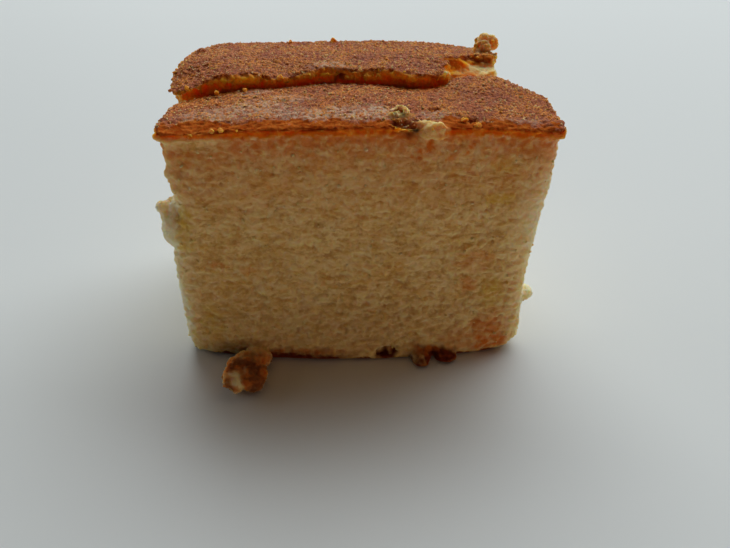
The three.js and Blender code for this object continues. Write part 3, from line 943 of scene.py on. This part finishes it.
def thin_out(skin, inner):
    """Thins the faces of the inner cut, whose normals point along inner, and the underside."""
    points = points_of(skin)
    normals = np.empty(3 * len(points), np.float32)
    skin.data.vertices.foreach_get("normal", normals)
    normals = normals.reshape(-1, 3)
    in_cut = (normals[:, 1] * inner > CUT_FACING) & (points[:, 2] < CUT_HEIGHT)
    in_cut &= np.abs(points[:, 1] - CUT_MIDDLE) < CUT_REACH
    in_cut &= np.abs(points[:, 0]) < CUT_SIDE
    hidden = in_cut | (points[:, 2] < UNDERSIDE)
    mark(skin, "hidden", hidden)
    thin = skin.modifiers.new("thin", "DECIMATE")
    thin.vertex_group = "hidden"
    thin.ratio = 1 - THINNED_SHARE * float(hidden.mean())
    settle(skin)
    skin.vertex_groups.clear()
    even = skin.modifiers.new("even", "DECIMATE")
    even.ratio = min(1.0, MOST_TRIANGLES / triangles_of(skin))
    settle(skin)
    keep_inside(skin, CAD_LOW, CAD_HIGH)
    print(skin.name, "thinned to", triangles_of(skin), "triangles")


thin_out(front, 1)
thin_out(rear, -1)

# %% [markdown]
# ## Loose crumbs
#
# A knife drags crumbs along: golden bits of crust cling to the crust's rim, grains like coarse
# sugar lie on the crust, and pale bits of crumb hang on the cut faces. They repeat by the
# hundred, so one Geometry Nodes tree scatters small rough balls where a mask of the mesh allows
# it, gives each its own size, turn and dents, and makes them real in the end.

# %% Crumb tree
CRUMB_INPUTS = {"Per Square Metre": 6e4, "Smallest": 0.3 * MM, "Largest": 0.8 * MM}
DENT_SCALE = 1800.0
DENT_DEPTH = 0.5 * MM


def random_three(tree, low, high, seed):
    """Three random numbers for each crumb."""
    inputs = {0: low, 1: high, "Seed": seed}
    return add(tree, "FunctionNodeRandomValue", {"data_type": "FLOAT_VECTOR"}, inputs).outputs[0]


def crumb_tree(material):
    """Scatters crumbs of one material where a mask allows it."""
    others = {"Mask": "NodeSocketString", "Seed": "NodeSocketInt"}
    tree, given = shape_tree("crumbs of " + material.name, CRUMB_INPUTS, others)
    density = calc(tree, "MULTIPLY", stored(tree, given["Mask"]), given["Per Square Metre"])
    inputs = {"Mesh": given["Geometry"], "Density": density, "Seed": given["Seed"]}
    points = add(tree, "GeometryNodeDistributePointsOnFaces", None, inputs).outputs["Points"]
    inputs = {"Radius": 0.5, "Subdivisions": 1}
    ball = add(tree, "GeometryNodeMeshIcoSphere", None, inputs).outputs["Mesh"]
    inputs = {2: given["Smallest"], 3: given["Largest"], "Seed": given["Seed"]}
    size = add(tree, "FunctionNodeRandomValue", {"data_type": "FLOAT"}, inputs).outputs[1]
    squash = random_three(tree, (0.6, 0.6, 0.5), (1.4, 1.4, 1.0), 3)
    scale = scaled(tree, squash, size)
    turn = random_three(tree, (0, 0, 0), (6.28, 6.28, 6.28), 5)
    inputs = {"Points": points, "Instance": ball, "Rotation": turn, "Scale": scale}
    placed = add(tree, "GeometryNodeInstanceOnPoints", None, inputs).outputs[0]
    real = add(tree, "GeometryNodeRealizeInstances", None, {0: placed}).outputs[0]
    place = add(tree, "GeometryNodeInputPosition").outputs[0]
    dents = vector_step(tree, "SUBTRACT", coloured_noise(tree, place, DENT_SCALE), (0.5, 0.5, 0.5))
    inputs = {"Geometry": real, "Offset": scaled(tree, dents, DENT_DEPTH)}
    rough = add(tree, "GeometryNodeSetPosition", None, inputs).outputs[0]
    inputs = {"Geometry": rough, "Material": material}
    finished = add(tree, "GeometryNodeSetMaterial", None, inputs).outputs[0]
    add(tree, "NodeGroupOutput", None, {0: finished})
    return tree


print("crumb inputs:", ", ".join(CRUMB_INPUTS))


# %% Crumb materials
def crumb_material(name, group, values, glow, tone):
    """A loose crumb: the shared colours, with more or less of a tone from crumb to crumb."""
    material, tree, shader = principled(name)
    where = add(tree, "ShaderNodeTexCoord").outputs["Object"]
    colours = add(tree, "ShaderNodeGroup", {"node_tree": group}, values)
    share = fade(tree, speckle(tree, where, 1.1 * MM, 1.0), 0.35, 0.65, 0.0, 0.75)
    colour = blend(tree, share, colours.outputs[0], tone)
    tree.links.new(colour, shader.inputs["Base Color"])
    set_finish(shader, 0.8, 0.08, glow, 1.0 * MM, (1.0, 0.55, 0.22))
    return material


GOLDEN_TONE = (0.90, 0.40, 0.09, 1)
GRAIN_TONE = (0.92, 0.62, 0.36, 1)
PALE_TONE = (0.86, 0.64, 0.32, 1)
OF_CUT = {"Depth": 0.3, "Skin": 0.0}
GOLDEN = crumb_material("golden crust crumb", CRUST_COLOURS, OF_CUT, 1.0, GOLDEN_TONE)
GRAIN = crumb_material("crust grain", CRUST_COLOURS, {}, 1.0, GRAIN_TONE)
PALE = crumb_material("pale crumb", CRUMB_COLOURS, {"Pit Shade": 0.1}, 0.9, PALE_TONE)
print("crumb materials:", GOLDEN.name, GRAIN.name, PALE.name, sep=", ")


# %% Scatter the crumbs
def scatter(name, skin, material, values):
    """Crumbs of one kind over one slice, as a piece of their own."""
    crumbs = in_scene(name, skin.data.copy())
    modifier = crumbs.modifiers.new("crumbs", "NODES")
    modifier.node_group = crumb_tree(material)
    set_inputs(modifier, values)
    settle(crumbs)
    keep_inside(crumbs, CAD_LOW, CAD_HIGH)
    print(name, len(crumbs.data.polygons), "faces")
    return crumbs


# Crumbs to the square metre of each slice's rim, and grains to the square metre of crust.
ON_RIM = {"front": 1e5, "rear": 4e5}
ON_CRUST = 1.1e6
# The cut faces that show lie this far from the inner cut, between the foot and the crust.
SHOWING = 7 * MM
FACE_FOOT = 2 * MM
FACE_TOP = 50 * MM

pieces = []
for label, skin, seed in (("front", front, 1), ("rear", rear, 2)):
    depth, baked, rim = (mask_of(skin, name) for name in ("depth", "skin", "rim"))
    points = points_of(skin)
    outer = np.abs(points[:, 1] - CUT_MIDDLE) > SHOWING
    level = (points[:, 2] > FACE_FOOT) & (points[:, 2] < FACE_TOP)
    clean = mask_of(skin, "scorched") < 0.1
    store_mask(skin, "rim_top", rim * (depth < 0.45))
    store_mask(skin, "top", baked * (mask_of(skin, "bare") < 0.5))
    store_mask(skin, "cut_face", (depth > 1.3) * level * outer * clean)
    golden = {"Mask": "rim_top", "Per Square Metre": ON_RIM[label], "Largest": 0.9 * MM}
    grain = {"Mask": "top", "Per Square Metre": ON_CRUST}
    grain.update({"Smallest": 0.2 * MM, "Largest": 0.48 * MM})
    pale = {"Mask": "cut_face"}
    for values in (golden, grain, pale):
        values["Seed"] = seed
    pieces.append((scatter(label + "_rim_crumbs", skin, GOLDEN, golden), "crust"))
    pieces.append((scatter(label + "_crust_grains", skin, GRAIN, grain), "crust"))
    pieces.append((scatter(label + "_face_crumbs", skin, PALE, pale), "crumb"))

# %% [markdown]
# ## Bits that show one by one
#
# A few larger crumbs can be told apart: on the rims, on the crust and at the torn corner. They
# are listed one by one, each a small ball pressed out of round and dented.

# %% Placed bits
BITS = {
    "golden": (
        (-14.2, 29.4, 55.3, 1.3),
        (-4.2, 29.8, 55.6, 1.8),
        (-21.8, 2.4, 53.8, 1.0),
        (-27.5, 1.9, 53.5, 1.0),
        (-14.9, 5.8, 55.0, 1.3),
        (-13.8, 6.4, 54.1, 1.0),
        (22.6, -16.4, 53.6, 1.2),
        (20.4, -14.2, 53.8, 1.3),
        (-33.6, 3.0, 54.0, 1.0),
        (-23.8, -16.8, 53.3, 1.0),
        (-25.4, -16.8, 53.2, 0.9),
    ),
    "pale": (
        (1.7, 7.3, 56.2, 0.9),
        (19.4, 7.3, 55.2, 1.1),
        (9.6, -12.6, 54.5, 1.7),
        (8.5, -12.6, 54.3, 1.8),
        (7.2, -12.9, 54.3, 1.2),
        (8.6, -11.6, 54.9, 1.4),
    ),
}

# How much a bit is pressed out of round, the scale of its dents, and their depth for its width.
BIT_SQUASH = 0.6
BIT_DENT_SCALE = 2600
BIT_DENT_DEPTH = 0.32
BIT_SEED = 4


def placed_bits(name, spots, material):
    """One piece of listed crumbs. A spot is its middle and its width, in millimetres."""
    shape = bmesh.new()
    for x, y, z, width in spots:
        made = bmesh.ops.create_icosphere(shape, subdivisions=2, radius=width / 2 * MM)
        middle = Vector((x, y, z))
        squash = Vector((1, 1, 1)) + noise.noise_vector(middle) * BIT_SQUASH
        for vertex in made["verts"]:
            push = noise.noise_vector(vertex.co * BIT_DENT_SCALE + middle)
            vertex.co = vertex.co * squash + push * width * BIT_DENT_DEPTH * MM + middle * MM
    mesh = bpy.data.meshes.new(name)
    shape.to_mesh(mesh)
    shape.free()
    mesh.materials.append(material)
    piece = in_scene(name, mesh)
    keep_inside(piece, CAD_LOW, CAD_HIGH)
    print(name, len(mesh.polygons), "faces")
    return piece


# Without a seed this noise starts from the clock, and the bits differ from run to run.
noise.seed_set(BIT_SEED)
pieces.append((placed_bits("golden_bits", BITS["golden"], GOLDEN), "crust"))
pieces.append((placed_bits("pale_bits", BITS["pale"], PALE), "crumb"))

# %% [markdown]
# ## Pieces on the frame
#
# Each carved slice stands for one solid of the frame and rides on its only body.

# %% Pieces
for skin, node in ((front, "front_slice"), (rear, "rear_slice")):
    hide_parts(node)
    pieces.append((skin, "crumb"))
for piece, finish in pieces:
    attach(piece, "root")
    print(piece.name, triangles_of(piece), "triangles")

# %% [markdown]
# ## Floor, light and camera
#
# The cake stands on a plain pale floor in front of a big soft window. The window is high behind
# the cake, so the top is bright, the cut face is in soft shadow and the thin edges glow. A weak
# warm light low in front and a faint warm surround stand in for the room, and a weak light from
# the left catches that end.

# %% Floor
FLOOR_COLOUR = (0.78, 0.80, 0.81, 1)
FLOOR_HALF = 1.5
FLOOR_DROP = 0.02 * MM

material, _, shader = principled("pale floor")
shader.inputs["Base Color"].default_value = FLOOR_COLOUR
shader.inputs["Roughness"].default_value = 0.6
corners = [(x * FLOOR_HALF, y * FLOOR_HALF, 0) for x, y in ((-1, -1), (1, -1), (1, 1), (-1, 1))]
mesh = bpy.data.meshes.new("floor")
mesh.from_pydata(corners, [], [(0, 1, 2, 3)])
mesh.materials.append(material)
plane = in_scene("floor", mesh)
plane.location.z = -FLOOR_DROP
print("floor:", 2 * FLOOR_HALF, "metres wide")

# %% Light
CAKE_MIDDLE = Vector((0, 0, 0.03))
SURROUND = (1.0, 0.80, 0.66, 1)
SURROUND_STRENGTH = 0.031


def soft_light(name, place, wide, tall, watts, colour):
    """A soft light of some width and height, aimed at the cake."""
    light = bpy.data.lights.new(name, "AREA")
    light.shape = "RECTANGLE"
    light.size = wide
    light.size_y = tall
    light.energy = watts
    light.color = colour
    lamp = in_scene(name, light)
    lamp.location = place
    aim = CAKE_MIDDLE - Vector(place)
    lamp.rotation_euler = aim.to_track_quat("-Z", "Y").to_euler()
    print(name, "light of", watts, "watts")


soft_light("window", (0.48, 1.3, 1.5), wide=3.2, tall=1.5, watts=49, colour=(0.94, 1.0, 1.0))
soft_light("room", (0.36, -0.5, 0.05), wide=0.6, tall=0.2, watts=0.53, colour=(1.0, 0.60, 0.33))
soft_light("side", (-1.1, 0.5, 0.3), wide=1.2, tall=0.5, watts=3.0, colour=(0.98, 1.0, 0.96))
scene.world = bpy.data.worlds.new("soft room")
scene.world.use_nodes = True
surround = scene.world.node_tree.nodes["Background"].inputs
surround["Color"].default_value = SURROUND
surround["Strength"].default_value = SURROUND_STRENGTH
scene.view_settings.view_transform = "Standard"

# %% [markdown]
# ## The camera
#
# The picture is taken from close in front and looks down at 36 degrees, so the slices seem to
# taper towards their foot and both crusts show.

# %% Camera
lens = bpy.data.cameras.new("camera")
lens.sensor_width = 36
lens.lens = 31.56
lens.clip_start = 0.005
camera = in_scene("camera", lens)
camera.location = (-0.766 * MM, -125.336 * MM, 100 * MM)
camera.rotation_euler = (math.radians(54), 0, math.radians(-1.5))
scene.camera = camera
print("camera at", [round(value, 3) for value in camera.location])
